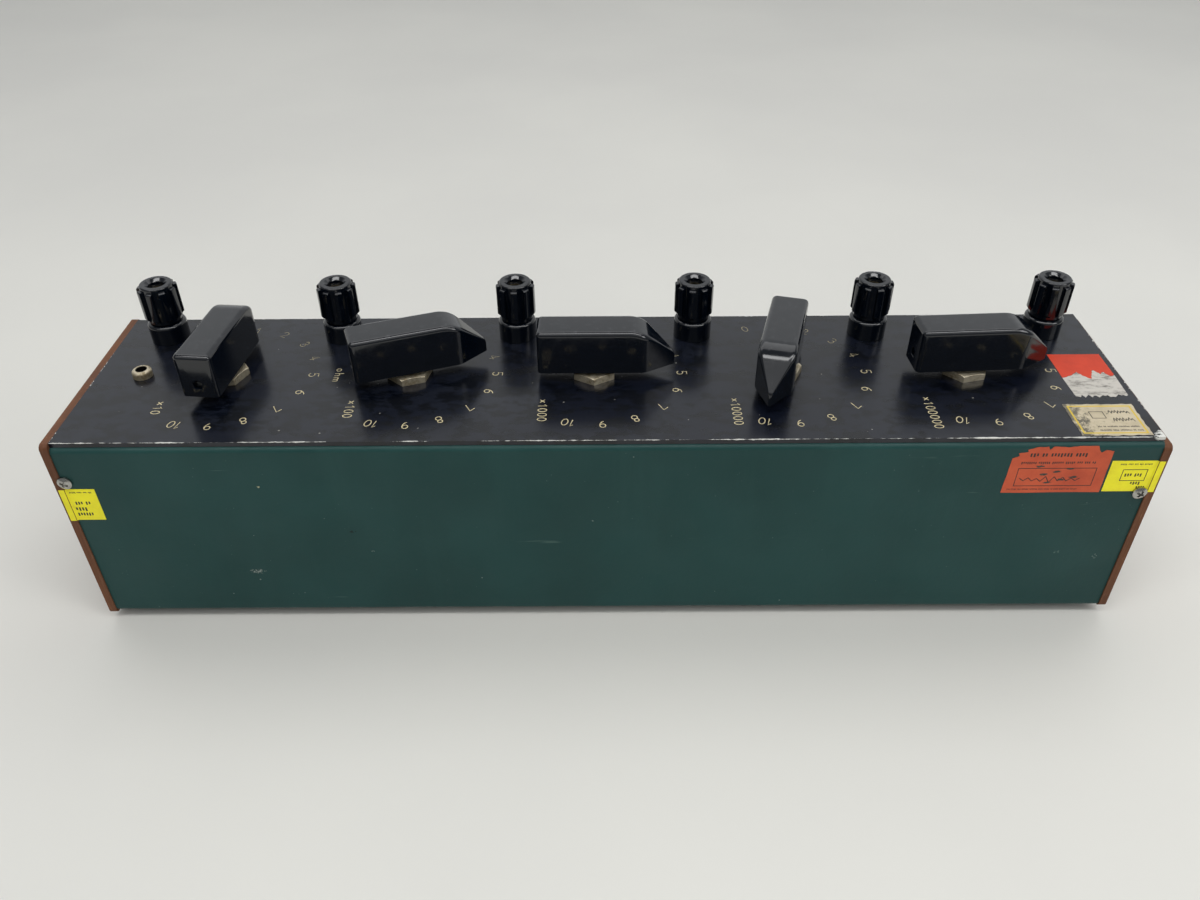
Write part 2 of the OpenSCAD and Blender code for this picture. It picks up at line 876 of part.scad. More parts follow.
// Moulded wheel on the shaft: notched rim for the index spring, lug for the stops, hub for the wiper
module index_wheel(n) {
    notch = 2 * index_bump + 0.2;
    hub_wall = 5;
    star_z = hub_top - 1 - star_height;
    color("#1c1a18")
    rotor(n)
        difference() {
            union() {
                translate([0, 0, hub_z]) cylinder(d = shaft_diameter + 2 * hub_wall, h = hub_height);
                translate([0, 0, star_z])
                    difference() {
                        cylinder(r = star_radius, h = star_height);
                        for (k = [0:steps_per_turn - 1])
                            translate(polar(star_radius + index_gap, k * step_angle))
                                translate([0, 0, -cut]) cylinder(d = notch, h = star_height + 2 * cut);
                    }
                translate([0, -lug_width / 2, star_z - star_height])
                    cube([lug_reach, lug_width, star_height]);
            }
            translate([0, 0, hub_z - cut]) cylinder(d = shaft_diameter, h = hub_height + 2 * cut);
        }
}

// Springy strip under the hub that bridges the collector ring and one stud
module wiper(n) {
    width = 5;
    dimple = 3;
    eye_wall = 3;
    color("#b8863c")
    rotor(n)
        translate([0, 0, hub_z - wiper_sheet]) {
            difference() {
                union() {
                    translate([-collector_outer, -width / 2, 0])
                        cube([collector_outer + stud_circle + dimple / 2, width, wiper_sheet]);
                    cylinder(d = shaft_diameter + 2 * eye_wall, h = wiper_sheet);
                }
                translate([0, 0, -cut]) cylinder(d = shaft_diameter, h = wiper_sheet + 2 * cut);
            }
            for (x = [stud_circle, -collector_middle, collector_middle])
                translate([x, 0, -wiper_bump]) cylinder(d = dimple, h = wiper_bump);
        }
}

case_shell();
top_panel();
end_cheek_left();
end_cheek_right();
cheek_screws();
panel_brackets();
feet();
foot_screws();
earth_socket();
post_collars();
post_studs();
post_insulators();
terminal_nuts();
switch_plates();
switch_bushes();
switch_nuts();
switch_pillars();
stator_plates();
contact_studs();
collector_rings();
index_springs();
resistor_bobbins();
hookup_wires();
for (n = [1:dial_count]) {
    knob(n);
    knob_screw(n);
    shaft(n);
    index_wheel(n);
    wiper(n);
}
for (n = [1:post_count]) {
    post_cap(n);
    post_washer(n);
}
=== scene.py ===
"""Looks of the decade resistance box: finishes, dial markings, stickers, floor, light and camera."""
import json
import math
import random

import bmesh
import bpy
from mathutils import Matrix, Vector

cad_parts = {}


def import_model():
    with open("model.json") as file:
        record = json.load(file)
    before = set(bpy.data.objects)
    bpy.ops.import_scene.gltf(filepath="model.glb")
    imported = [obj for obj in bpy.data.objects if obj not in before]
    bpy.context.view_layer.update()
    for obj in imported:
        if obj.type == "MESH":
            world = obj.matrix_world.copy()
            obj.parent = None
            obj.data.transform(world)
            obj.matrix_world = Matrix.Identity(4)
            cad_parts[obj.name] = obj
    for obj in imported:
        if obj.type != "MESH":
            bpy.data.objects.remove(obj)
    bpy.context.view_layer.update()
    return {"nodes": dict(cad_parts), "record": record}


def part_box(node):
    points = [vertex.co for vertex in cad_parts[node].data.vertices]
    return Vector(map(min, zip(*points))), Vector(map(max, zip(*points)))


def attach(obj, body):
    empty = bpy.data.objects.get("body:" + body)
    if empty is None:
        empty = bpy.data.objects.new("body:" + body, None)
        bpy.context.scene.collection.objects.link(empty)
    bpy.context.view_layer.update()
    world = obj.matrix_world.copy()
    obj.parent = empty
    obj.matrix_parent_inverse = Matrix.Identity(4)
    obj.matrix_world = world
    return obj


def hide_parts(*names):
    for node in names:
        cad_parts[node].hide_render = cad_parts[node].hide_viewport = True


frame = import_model()
MM = 0.001
DIALS = range(1, 6)
POSTS = range(1, 7)

# Sizes read from the frame
PANEL_LOW, PANEL_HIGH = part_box("top_panel")
CASE_LOW, CASE_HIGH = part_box("case_shell")
LEFT_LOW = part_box("end_cheek_left")[0]
RIGHT_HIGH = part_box("end_cheek_right")[1]
PANEL_TOP = PANEL_HIGH[2]
JOINTS = {joint["name"]: joint for joint in frame["record"]["behaviour"]["joints"]}
DIAL_X = [JOINTS[f"dial_{n}"]["pos_m"][0] for n in DIALS]

# Camera, solved from the panel corners and numerals of the photograph
IMAGE_WIDTH = 1200
FOCAL_PIXELS = 990.3
CAMERA_X = -1.0 * MM
CAMERA_Y = -339.2 * MM
CAMERA_ABOVE_PANEL = 220.7 * MM
CAMERA_PITCH = math.radians(37.49)
CAMERA_YAW = math.radians(-0.243)
CAMERA_ROLL = math.radians(0.486)

# Room light, towards the front and towards the rear
ROOM_FRONT = 0.24
ROOM_REAR = 0.74
ROOM_TINT = (0.97, 0.99, 1, 1)
RISE_START = 0.1
RISE_END = 0.65

# Lamps: name, place, width, depth and power
LAMPS = (
    ("front_ceiling", (0.0, -0.85, 1.15), 3.0, 1.0, 6.3),
    ("ceiling_strip", (0.0, -0.45, 1.35), 1.8, 0.25, 8.0),
    ("rear_ceiling", (0.0, 0.55, 1.45), 2.4, 0.8, 6.8),
    ("side_window", (1.14, -0.56, 0.9), 0.6, 0.5, 3.6),
)
TABLE_SIZE = 6

# Dial markings
POSITIONS = 11
STEP = 2 * math.pi / 17
NUMERAL_CIRCLE = 35.6 * MM
NUMERAL_HEIGHT = 4.0 * MM
NUMERAL_ADVANCE = 0.72 * NUMERAL_HEIGHT
NUMERAL_STROKE = 0.42 * MM
MULTIPLIER_X = -20.0 * MM
MULTIPLIER_START = -19.8 * MM
MULTIPLIER_HEIGHT = 3.4 * MM
MULTIPLIER_ADVANCE = 3.05 * MM
UNIT_X = -29.0 * MM
UNIT_ADVANCE = 1.15 * MULTIPLIER_ADVANCE
INK_RISE = 0.03 * MM
SAME_POINT = 1e-7

# Shading: corners sharper than this stay sharp
SMOOTH_ANGLE = math.radians(32)
KNOB_SMOOTH_ANGLE = math.radians(40)

# Knobs, as in the part's source
KNOB_FLAT = 13.7 * MM
KNOB_SHOULDER = 20.0 * MM
KNOB_EDGE = 2.0 * MM
KNOB_LEAST_EDGE = 0.3 * MM
NOSE_EDGE_SHARE = 0.28
KNOB_SKEW = (0.0, -1.7, 0.0, 0.5, 3.0)
NOSE_BEND = 13.0 * MM
NOSE_SLOPE = math.radians(45)
TIP_BEND = 2.0 * MM
PROW_HALF = 0.5 * MM
SHOULDER_EASE = 1.5 * MM
SET_SCREW_LEVEL = 0.28
SET_SCREW_RADIUS = 2.0 * MM
SET_SCREW_CHAMFER = 0.3 * MM
SET_SCREW_DEPTH = 3.4 * MM

# Knocks in the front paint, in mm: middle across and up, width and height, then colour
PAINT_MARKS = (
    (-143.2, 27.3, 8.0, 3.0, (150, 158, 152)),
    (-100.7, 49.0, 3.4, 1.4, (10, 16, 16)),
    (-133.2, 72.2, 1.6, 1.4, (190, 186, 150)),
    (-94.1, 38.4, 1.8, 1.2, (120, 134, 128)),
    (197.7, 33.4, 2.2, 3.4, (126, 140, 134)),
    (181.6, 35.8, 3.0, 2.4, (84, 108, 102)),
)

# Earth socket: radius of the painted shade in its bore
SOCKET_SHADE_RADIUS = 2.15 * MM

# Stickers: paper thickness, the ink's share of it, and the share of it that a seal sinks into a cheek's face
PAPER = 0.08 * MM
INK_SHARE = 0.12
SUNK = 0.75
FINE_LINE = 0.3 * MM

# Ticks that stand for print, as shares of their height
TICK_WIDTH = 0.36
TICK_PITCH = 0.62
WORD_GAP = 0.5

# Seals; a row of print, in mm, is its two distances from the inner edge, its drop and its height
SEAL_REACH = 14 * MM
SEAL_BEND = 0.6 * MM
BEFORE_SEAM = 0.5 * MM
PAST_SEAM = 0.3 * MM
LEFT_SEAL_ROWS = ((1.5, 10, 1.3, 0.8), (2.6, 9.3, 6.2, 1.7), (2.6, 10, 9.1, 1.9), (2.6, 10, 11.8, 1.7))
RIGHT_SEAL_ROWS = ((3.5, 15.5, 1.3, 0.8), (6.5, 13.5, 6.1, 1.6), (9.8, 15.8, 10.1, 1.6),
                   (12.6, 15.8, 12.3, 1.4))


def srgb(red, green, blue):
    """A colour from 0 to 255 sRGB values as linear RGBA."""
    def linear(value):
        value /= 255
        return value / 12.92 if value <= 0.04045 else ((value + 0.055) / 1.055) ** 2.4
    return (linear(red), linear(green), linear(blue), 1.0)


# Material building


class Shader:
    """A principled material with short calls for the nodes that its finish needs."""

    def __init__(self, name, **inputs):
        self.material = bpy.data.materials.new(name)
        self.material.use_nodes = True
        self.tree = self.material.node_tree
        self.bsdf = self.tree.nodes["Principled BSDF"]
        self.place = self.new("ShaderNodeTexCoord").outputs["Object"]
        self.set(**inputs)

    def new(self, kind, **settings):
        node = self.tree.nodes.new(kind)
        for key, value in settings.items():
            setattr(node, key, value)
        return node

    def put(self, socket, value):
        if isinstance(value, bpy.types.NodeSocket):
            self.tree.links.new(value, socket)
        else:
            socket.default_value = value

    def set(self, **inputs):
        for key, value in inputs.items():
            self.put(self.bsdf.inputs[key.replace("_", " ")], value)

    def stretch(self, x, y, z, turn=(0, 0, 0)):
        node = self.new("ShaderNodeMapping")
        self.put(node.inputs["Vector"], self.place)
        self.put(node.inputs["Scale"], (x, y, z))
        self.put(node.inputs["Rotation"], turn)
        return node.outputs["Vector"]

    def noise(self, scale, detail=2.0, roughness=0.5, place=None):
        node = self.new("ShaderNodeTexNoise")
        self.put(node.inputs["Vector"], place or self.place)
        self.put(node.inputs["Scale"], scale)
        self.put(node.inputs["Detail"], detail)
        self.put(node.inputs["Roughness"], roughness)
        return node.outputs["Fac"]

    def spots(self, scale):
        node = self.new("ShaderNodeTexVoronoi")
        self.put(node.inputs["Vector"], self.place)
        self.put(node.inputs["Scale"], scale)
        return node.outputs["Distance"]

    def ranged(self, value, low, high, to_low=0.0, to_high=1.0):
        node = self.new("ShaderNodeMapRange", interpolation_type="SMOOTHSTEP")
        self.put(node.inputs["Value"], value)
        self.put(node.inputs["From Min"], low)
        self.put(node.inputs["From Max"], high)
        self.put(node.inputs["To Min"], to_low)
        self.put(node.inputs["To Max"], to_high)
        return node.outputs["Result"]

    def math(self, operation, first, second=0.0):
        node = self.new("ShaderNodeMath", operation=operation)
        self.put(node.inputs[0], first)
        self.put(node.inputs[1], second)
        return node.outputs["Value"]

    def mix(self, amount, first, second):
        node = self.new("ShaderNodeMix", data_type="RGBA")
        self.put(node.inputs["Factor"], amount)
        self.put(node.inputs[6], first)
        self.put(node.inputs[7], second)
        return node.outputs[2]

    def split(self, vector=None):
        node = self.new("ShaderNodeSeparateXYZ")
        self.put(node.inputs["Vector"], vector or self.place)
        return node.outputs

    def facing_up(self):
        node = self.new("ShaderNodeNewGeometry")
        return self.split(node.outputs["Normal"])["Z"]

    def bump(self, height, strength, distance):
        node = self.new("ShaderNodeBump")
        self.put(node.inputs["Height"], height)
        self.put(node.inputs["Strength"], strength)
        self.put(node.inputs["Distance"], distance)
        self.put(self.bsdf.inputs["Normal"], node.outputs["Normal"])


def case_paint():
    """Dark green satin paint with orange peel, streaks, scratches, chips, dust, knocks, and a rubbed lip with
    a painted highlight along it.
    """
    s = Shader("case_paint", Specular_IOR_Level=0.25)
    cloud = s.ranged(s.noise(18, 4), 0.3, 0.7)
    colour = s.mix(cloud, srgb(22, 60, 58), srgb(30, 69, 67))
    streak = s.ranged(s.noise(60, 5, 0.7, s.stretch(1, 1, 0.08)), 0.5, 0.75, 0, 0.35)
    colour = s.mix(streak, colour, srgb(34, 72, 69))
    scratch = s.ranged(s.noise(220, 3, 0.6, s.stretch(0.1, 1, 1, (0, 0.5, 0))), 0.70, 0.77, 0, 0.35)
    colour = s.mix(scratch, colour, srgb(96, 122, 114))
    grain = s.noise(900, 2)
    chip_field = s.math("ADD", s.spots(110), s.math("MULTIPLY", grain, 0.12))
    chip = s.ranged(chip_field, 0.072, 0.088, 0.8, 0)
    colour = s.mix(chip, colour, srgb(120, 136, 130))
    sparse = s.ranged(s.noise(170, 4, 0.7), 0.50, 0.70, 0.3, 0)
    dust = s.ranged(s.math("ADD", s.spots(650), sparse), 0.14, 0.24, 0.6, 0)
    colour = s.mix(dust, colour, srgb(84, 108, 104))
    for x, z, width, height, paint in PAINT_MARKS:
        colour = s.mix(paint_mark(s, x * MM, z * MM, width * MM, height * MM), colour, srgb(*paint))
    axes = s.split()
    # Lighter band along the top of the lip: a painted highlight on the rolled edge, broken up by rubbed paint
    lip = s.ranged(axes["Z"], CASE_HIGH[2] - 2.4 * MM, CASE_HIGH[2] - 0.6 * MM, 0, 0.12)
    rub_and_highlight = s.math("MULTIPLY", lip, s.ranged(s.noise(120, 4, 0.7, s.stretch(0.3, 1, 1)), 0.4, 0.6))
    colour = s.mix(rub_and_highlight, colour, srgb(62, 98, 92))
    s.set(Base_Color=colour, Roughness=s.ranged(s.noise(40, 5), 0.3, 0.7, 0.36, 0.52))
    peel = s.math("ADD", s.noise(520, 2), s.math("MULTIPLY", chip, -1.5))
    s.bump(peel, 0.22, 0.25 * MM)
    return s.material


def paint_mark(s, x, z, width, height):
    """One ragged knock on the front of the case, as a patch about a point."""
    axes = s.split()
    across = s.math("DIVIDE", s.math("SUBTRACT", axes["X"], x), width / 2)
    along = s.math("DIVIDE", s.math("SUBTRACT", axes["Z"], z), height / 2)
    away = s.math("ADD", s.math("POWER", across, 2.0), s.math("POWER", along, 2.0))
    ragged_away = s.math("ADD", away, s.ranged(s.noise(1100, 4, 0.7), 0.3, 0.7, 0, 1.6))
    patch = s.ranged(ragged_away, 0.5, 1.3, 0.85, 0)
    return s.math("MULTIPLY", patch, s.ranged(axes["Y"], CASE_LOW[1] + 1 * MM, CASE_LOW[1] + 2 * MM, 1, 0))


def panel_enamel():
    """Black enamel with a smoky bloom, dark blotches, pale specks and chips along its edges."""
    s = Shader("panel_enamel", Specular_IOR_Level=0.5)
    cloud = s.ranged(s.noise(16, 5, 0.6), 0.35, 0.7)
    haze = s.mix(cloud, srgb(14, 18, 29), srgb(22, 26, 36))
    blotch = s.ranged(s.noise(210, 5, 0.65, s.stretch(0.6, 1, 1)), 0.46, 0.58)
    colour = s.mix(blotch, haze, srgb(2, 5, 13))
    speck_field = s.math("ADD", s.spots(120), s.math("MULTIPLY", s.noise(700), 0.14))
    speck = s.ranged(speck_field, 0.085, 0.115, 0.6, 0)
    colour = s.mix(speck, colour, srgb(150, 148, 140))
    bare = edge_chips(s)
    colour = s.mix(bare, colour, srgb(214, 214, 208))
    streak = s.noise(90, 6, 0.7, s.stretch(0.05, 1, 1))
    gloss = s.math("ADD", s.ranged(streak, 0.3, 0.7, 0.18, 0.24), s.math("MULTIPLY", blotch, 0.05))
    s.set(Base_Color=colour, Roughness=s.math("MAXIMUM", gloss, s.math("MULTIPLY", bare, 0.5)))
    relief = s.math("ADD", s.noise(420, 2), s.math("MULTIPLY", s.math("ADD", bare, speck), -1.2))
    s.bump(relief, 0.05, 0.2 * MM)
    return s.material


def edge_chips(s):
    """Where the enamel is chipped off: a broken line along the top arris and a scuffed near right corner."""
    axes = s.split()
    drop = s.math("SUBTRACT", PANEL_TOP, axes["Z"])
    front = s.math("ADD", s.math("SUBTRACT", axes["Y"], PANEL_LOW[1]), drop)
    rear = s.math("ADD", s.math("SUBTRACT", PANEL_HIGH[1], axes["Y"]), drop)
    left = s.math("ADD", s.math("SUBTRACT", axes["X"], PANEL_LOW[0]), drop)
    right = s.math("ADD", s.math("SUBTRACT", PANEL_HIGH[0], axes["X"]), drop)
    long_wear = s.noise(70, 4, 0.7, s.stretch(0.5, 1, 1))
    fine_wear = s.noise(900, 4, 0.75, s.stretch(0.35, 1, 1))
    wear = s.math("ADD", s.math("MULTIPLY", long_wear, 0.55), s.math("MULTIPLY", fine_wear, 0.45))
    ends = s.ranged(s.math("ABSOLUTE", s.math("ADD", axes["X"], 0.03)), 0.14, 0.20, 0, 0.07)
    front_reach = s.ranged(s.math("ADD", wear, ends), 0.43, 0.70, 0, 0.6 * MM)
    other_reach = s.ranged(wear, 0.52, 0.68, 0, 0.8 * MM)
    corner_reach = s.ranged(fine_wear, 0.3, 0.65, 0.5 * MM, 6 * MM)
    corner = s.math("ADD", front, right)
    rims = s.math("MINIMUM", s.math("MINIMUM", rear, left), right)
    chips = s.math("MAXIMUM", s.math("SUBTRACT", front_reach, front), s.math("SUBTRACT", other_reach, rims))
    chips = s.math("MAXIMUM", chips, s.math("SUBTRACT", corner_reach, corner))
    return s.ranged(chips, 0, 0.1 * MM)


def cheek_board():
    """Brown laminated board: fine layers along its edges, soft mottling on its faces and light flecks."""
    s = Shader("cheek_board", Specular_IOR_Level=0.15)
    layers = s.noise(60, 4, 0.6, s.stretch(40, 1, 1))
    mottle = s.noise(45, 5, 0.65, s.stretch(1, 1, 0.35))
    colour = s.mix(s.ranged(mottle, 0.3, 0.7), srgb(96, 62, 44), srgb(120, 80, 56))
    colour = s.mix(s.ranged(layers, 0.35, 0.7, 0, 0.55), colour, srgb(84, 52, 36))
    fleck = s.ranged(s.noise(900, 2, 0.5, s.stretch(1, 1, 0.2)), 0.62, 0.72, 0, 0.35)
    colour = s.mix(fleck, colour, srgb(150, 110, 84))
    s.set(Base_Color=colour, Roughness=s.ranged(mottle, 0.3, 0.7, 0.42, 0.6))
    s.bump(s.math("ADD", layers, s.noise(500, 3)), 0.12, 0.2 * MM)
    return s.material


def phenolic(name, gloss):
    """Glossy black moulding with faint swirl marks, dulled patches and settled dust on what faces up."""
    s = Shader(name, IOR=1.6, Specular_IOR_Level=0.5)
    dust = s.ranged(s.noise(420, 4, 0.75), 0.52, 0.74, 0, 0.22)
    up = s.ranged(s.facing_up(), 0.5, 0.95)
    colour = s.mix(s.math("MULTIPLY", dust, up), srgb(3, 8, 17), srgb(92, 94, 98))
    s.set(Base_Color=colour)
    swirl = s.noise(150, 6, 0.75, s.stretch(1, 0.25, 1, (0, 0, 0.7)))
    s.set(Roughness=s.ranged(swirl, 0.3, 0.75, gloss, gloss + 0.10))
    s.bump(s.noise(260, 2), 0.035, 0.3 * MM)
    return s.material


def aged_nickel(name, bore=None):
    """Yellowed nickel plate with dark stains and, where asked, painted shade inside a bore given as (x, y,
    radius).
    """
    s = Shader(name, Metallic=0.7)
    stain = s.ranged(s.noise(260, 5, 0.7), 0.42, 0.68)
    colour = s.mix(stain, srgb(202, 192, 168), srgb(144, 130, 102))
    if bore:
        # Painted shade in the bore: dark within its radius, fading out just past its rim
        axes = s.split()
        x, y, radius = bore
        across = s.math("POWER", s.math("SUBTRACT", axes["X"], x), 2.0)
        along = s.math("POWER", s.math("SUBTRACT", axes["Y"], y), 2.0)
        away = s.math("SQRT", s.math("ADD", across, along))
        colour = s.mix(s.ranged(away, radius, 1.15 * radius, 1, 0), colour, srgb(24, 21, 17))
    s.set(Base_Color=colour, Roughness=s.ranged(stain, 0, 1, 0.36, 0.6))
    s.bump(s.noise(1200, 3), 0.1, 0.1 * MM)
    return s.material


def plated_screw():
    """Bright plated screw with patches of grime."""
    s = Shader("plated_screw", Metallic=1.0)
    grime = s.ranged(s.noise(700, 4, 0.7), 0.5, 0.75, 0, 0.7)
    s.set(Base_Color=s.mix(grime, srgb(176, 175, 170), srgb(96, 90, 78)))
    s.set(Roughness=s.ranged(grime, 0, 0.7, 0.18, 0.45))
    s.bump(s.noise(1500, 2), 0.08, 0.08 * MM)
    return s.material


def turned_metal(name, bright, dull, roughness):
    """Machined metal with fine marks and light tarnish."""
    s = Shader(name, Metallic=1.0)
    tarnish = s.ranged(s.noise(140, 5, 0.7), 0.35, 0.7)
    s.set(Base_Color=s.mix(tarnish, bright, dull))
    tool_marks = s.noise(900, 3, 0.6, s.stretch(1, 1, 0.1))
    s.set(Roughness=s.ranged(tool_marks, 0.3, 0.7, roughness, roughness + 0.15))
    return s.material


def plain_moulding(name, dark, light, roughness, scale):
    """Matt rubber, laminate or moulding with mottling and a fine tooth."""
    s = Shader(name, Specular_IOR_Level=0.35)
    s.set(Base_Color=s.mix(s.ranged(s.noise(scale, 5, 0.65), 0.3, 0.7), dark, light), Roughness=roughness)
    s.bump(s.noise(scale * 9, 3), 0.15, 0.15 * MM)
    return s.material


def engraving_paint():
    """Cream filler in the engraved marks, dirty, and darker towards the rear as painted shade for the far
    marks that the panel's sheen dims.
    """
    s = Shader("engraving_paint", Roughness=0.6)
    dirt = s.ranged(s.noise(650, 4, 0.7), 0.42, 0.75, 0, 0.7)
    colour = s.mix(dirt, srgb(204, 190, 150), srgb(112, 104, 82))
    # Darker towards the rear: painted shade for the far marks, which the panel's sheen dims; the noise breaks
    # up its edge
    rearward = s.math("ADD", s.split()["Y"], s.math("MULTIPLY", s.noise(40, 3), 0.03))
    sheen_dimming = s.ranged(rearward, -0.005, 0.045, 0, 0.65)
    s.set(Base_Color=s.mix(sheen_dimming, colour, srgb(40, 39, 36)))
    return s.material


def sticker_paper(name, clean, soiled, grimy=None):
    """Printed label stock with fibres, handling marks, faded patches and, where asked, a grimy end."""
    s = Shader(name, Specular_IOR_Level=0.2, Roughness=0.45)
    fade = s.ranged(s.noise(70, 5, 0.7), 0.35, 0.75)
    colour = s.mix(fade, clean, soiled)
    smudge = s.ranged(s.noise(330, 5, 0.75), 0.62, 0.78, 0, 0.45)
    colour = s.mix(smudge, colour, srgb(96, 84, 64))
    if grimy:
        closeness = s.ranged(s.split()["X"], *grimy, 0.22, 0)
        grime = s.ranged(s.math("ADD", s.noise(380, 6, 0.75), closeness), 0.58, 0.72, 0, 0.9)
        colour = s.mix(grime, colour, srgb(86, 82, 72))
    s.set(Base_Color=colour)
    s.bump(s.noise(1300, 3), 0.1, 0.06 * MM)
    return s.material


def torn_paper():
    """White paper left where a label was pulled off: ragged fibres, dark where it is thin."""
    s = Shader("torn_paper", Specular_IOR_Level=0.2, Roughness=0.85)
    thin = s.ranged(s.noise(260, 7, 0.8, s.stretch(0.5, 1.5, 1)), 0.47, 0.66)
    s.set(Base_Color=s.mix(thin, srgb(192, 188, 180), srgb(112, 108, 103)))
    s.bump(s.noise(420, 6, 0.8), 0.35, 0.2 * MM)
    return s.material


def printing_ink(name, colour):
    """Thin print that lets the paper show through in specks."""
    s = Shader(name, Roughness=0.55)
    gap = s.ranged(s.noise(1600, 3, 0.7), 0.6, 0.75, 0, 0.5)
    s.set(Base_Color=s.mix(gap, colour, srgb(170, 150, 90)))
    return s.material


# Dressing the CAD nodes


def dress(node, material, bevel=None, segments=3):
    """Gives a CAD node its finish, smooth shading across its curved faces and, where asked, eased edges."""
    obj = frame["nodes"][node]
    obj.data.materials.clear()
    obj.data.materials.append(material)
    obj.data.polygons.foreach_set("use_smooth", [True] * len(obj.data.polygons))
    obj.data.set_sharp_from_angle(angle=SMOOTH_ANGLE)
    if bevel:
        weld = obj.modifiers.new("joined_faces", "WELD")
        weld.merge_threshold = 0.002 * MM
        flat = obj.modifiers.new("whole_flats", "DECIMATE")
        flat.decimate_type = "DISSOLVE"
        flat.angle_limit = math.radians(0.3)
        ease = obj.modifiers.new("eased_edges", "BEVEL")
        ease.width = bevel
        ease.segments = segments
        ease.limit_method = "ANGLE"
        ease.angle_limit = SMOOTH_ANGLE
        even = obj.modifiers.new("flat_faces_flat", "WEIGHTED_NORMAL")
        even.weight = 100
        even.keep_sharp = True


def dress_nodes():
    """Gives every CAD node its finish, and the knobs their mouldings."""
    knob_plastic = phenolic("knob_plastic", 0.08)
    post_plastic = phenolic("post_plastic", 0.06)
    moulded_knobs(knob_plastic)
    nickel = aged_nickel("aged_nickel")
    socket_low, socket_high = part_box("earth_socket")
    socket_x = (socket_low[0] + socket_high[0]) / 2
    socket_nickel = aged_nickel("socket_nickel", (socket_x, 0.0, SOCKET_SHADE_RADIUS))
    board = cheek_board()
    steel = turned_metal("zinc_steel", srgb(186, 188, 188), srgb(140, 141, 138), 0.3)
    brass = turned_metal("turned_brass", srgb(206, 176, 104), srgb(150, 122, 68), 0.22)
    # Darker copy of the brass for the studs, whose ends show only down the caps' holes: partly a duller
    # metal, partly painted shade of the holes
    dull = turned_metal("dull_shaded_brass", srgb(112, 104, 84), srgb(70, 64, 52), 0.35)
    wire = turned_metal("tinned_wire", srgb(206, 204, 198), srgb(160, 158, 150), 0.25)
    laminate = plain_moulding("laminate", srgb(78, 48, 32), srgb(104, 66, 44), 0.5, 120)
    rubber = plain_moulding("foot_rubber", srgb(22, 22, 22), srgb(36, 35, 34), 0.8, 200)
    bakelite = plain_moulding("wheel_moulding", srgb(24, 21, 19), srgb(40, 34, 30), 0.45, 150)
    spool = plain_moulding("wound_spool", srgb(150, 112, 60), srgb(204, 176, 118), 0.55, 300)
    dress("case_shell", case_paint())
    dress("top_panel", panel_enamel(), bevel=0.25 * MM, segments=2)
    for node in ("end_cheek_left", "end_cheek_right"):
        dress(node, board, bevel=0.5 * MM)
    dress("cheek_screws", plated_screw())
    dress("switch_nuts", nickel, bevel=0.2 * MM, segments=2)
    dress("earth_socket", socket_nickel, bevel=0.2 * MM, segments=2)
    dress("post_collars", post_plastic, bevel=0.25 * MM)
    # The studs take the darker brass, which paints in the shade of the caps' holes
    dress("post_studs", dull)
    for node in ("switch_bushes", "switch_pillars", "contact_studs", "collector_rings", "terminal_nuts"):
        dress(node, brass)
    for node in ("panel_brackets", "switch_plates", "index_springs", "foot_screws"):
        dress(node, steel)
    for node in ("stator_plates", "post_insulators"):
        dress(node, laminate)
    dress("feet", rubber, bevel=0.4 * MM)
    dress("resistor_bobbins", spool)
    dress("hookup_wires", wire)
    for n in DIALS:
        dress(f"knob_{n}", knob_plastic)
        dress(f"knob_screw_{n}", steel)
        dress(f"shaft_{n}", steel)
        dress(f"index_wheel_{n}", bakelite)
        dress(f"wiper_{n}", brass)
    for n in POSTS:
        dress(f"post_cap_{n}", post_plastic, bevel=0.3 * MM)
        dress(f"post_washer_{n}", brass)


# Mesh building


def join_rings(mesh, rings):
    """Joins rings of vertices into a closed skin, with a face over each end."""
    count = len(rings[0])
    for first, second in zip(rings, rings[1:]):
        for k in range(count):
            mesh.faces.new((first[k], first[(k + 1) % count], second[(k + 1) % count], second[k]))
    mesh.faces.new(rings[0])
    mesh.faces.new(list(reversed(rings[-1])))


def finished_mesh(mesh, name):
    """The built faces as mesh data, with their normals outward."""
    bmesh.ops.recalc_face_normals(mesh, faces=mesh.faces)
    data = bpy.data.meshes.new(name)
    mesh.to_mesh(data)
    mesh.free()
    return data


# Moulded knobs


def knob_shape():
    """Reach to the rear and the tip, half width, height and foot of the third knob, which points along +X."""
    low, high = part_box("knob_3")
    return DIAL_X[2] - low[0], high[0] - DIAL_X[2], (high[1] - low[1]) / 2, high[2] - low[2], low[2]


def knob_top(along, tip, height):
    """Height of the bar's top line at a distance along it: flat, bend, slope and rounded tip."""
    sine, cosine = math.sin(NOSE_SLOPE), math.cos(NOSE_SLOPE)
    bend_end = KNOB_FLAT + NOSE_BEND * sine
    bend_height = height - NOSE_BEND * (1 - cosine)
    tip_start = tip - TIP_BEND * (1 - sine)
    tip_level = bend_height - (tip_start - bend_end) * math.tan(NOSE_SLOPE) - TIP_BEND * cosine
    if along <= KNOB_FLAT:
        return height
    if along <= bend_end:
        return height - NOSE_BEND + math.sqrt(NOSE_BEND ** 2 - (along - KNOB_FLAT) ** 2)
    if along <= tip_start:
        return bend_height - (along - bend_end) * math.tan(NOSE_SLOPE)
    return tip_level + math.sqrt(max(TIP_BEND ** 2 - (along - tip + TIP_BEND) ** 2, 0))


def knob_half_width(along, tip, half):
    """Half the bar's width at a distance along it: straight, an eased shoulder, then a taper to the prow."""
    taper = (half - PROW_HALF) / (tip - KNOB_SHOULDER)
    start, end = KNOB_SHOULDER - SHOULDER_EASE, KNOB_SHOULDER + SHOULDER_EASE
    if along <= start:
        return half
    if along <= end:
        return half - taper * (along - start) ** 2 / (4 * SHOULDER_EASE)
    return half - taper * (along - KNOB_SHOULDER)


